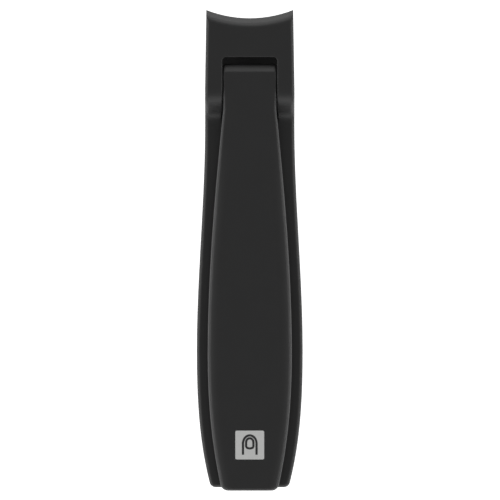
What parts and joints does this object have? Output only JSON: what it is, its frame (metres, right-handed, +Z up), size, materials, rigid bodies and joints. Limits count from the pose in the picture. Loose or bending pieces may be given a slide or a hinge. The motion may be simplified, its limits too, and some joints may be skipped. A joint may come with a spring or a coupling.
{
  "type": "nail clipper",
  "caption": "Slim nail clipper with concave jaws on riveted spring arms and a long lever that folds flat into the upper arm's head.",
  "frame": {"origin": "middle of the overall length and width on the lower arm's flat underside", "axes": "+Y towards the jaws, +Z up through the lever, +X across"},
  "size_m": [0.0132, 0.06, 0.0084],
  "materials": {
    "black_coating": "fine matt black coating on steel",
    "pin_steel": "blackened steel with turning marks",
    "badge_plate": "finely brushed bright steel"
  },
  "bodies": {
    "lower_arm": {"lower_arm": "black_coating", "pull_post": "pin_steel", "tail_rivets": "pin_steel"},
    "upper_arm": {"upper_arm": "black_coating", "fulcrum_pin": "pin_steel"},
    "lever": {"lever": "black_coating", "link_pin": "pin_steel", "badge": "badge_plate"}
  },
  "joints": [
    {"name": "jaw_flex", "type": "hinge", "parent": "lower_arm", "child": "upper_arm", "pos_m": [0, -0.0296, 0.0018], "axis": [1, 0, 0], "range_deg": [0, 1.92]},
    {"name": "lever_swing", "type": "hinge", "parent": "upper_arm", "child": "lever", "pos_m": [0, 0.01925, 0.00579], "axis": [-1, 0, 0], "range_deg": [0, 40]}
  ],
  "couplings": [
    {"joint": "jaw_flex", "follows": "lever_swing", "ratio": 0.0479}
  ]
}
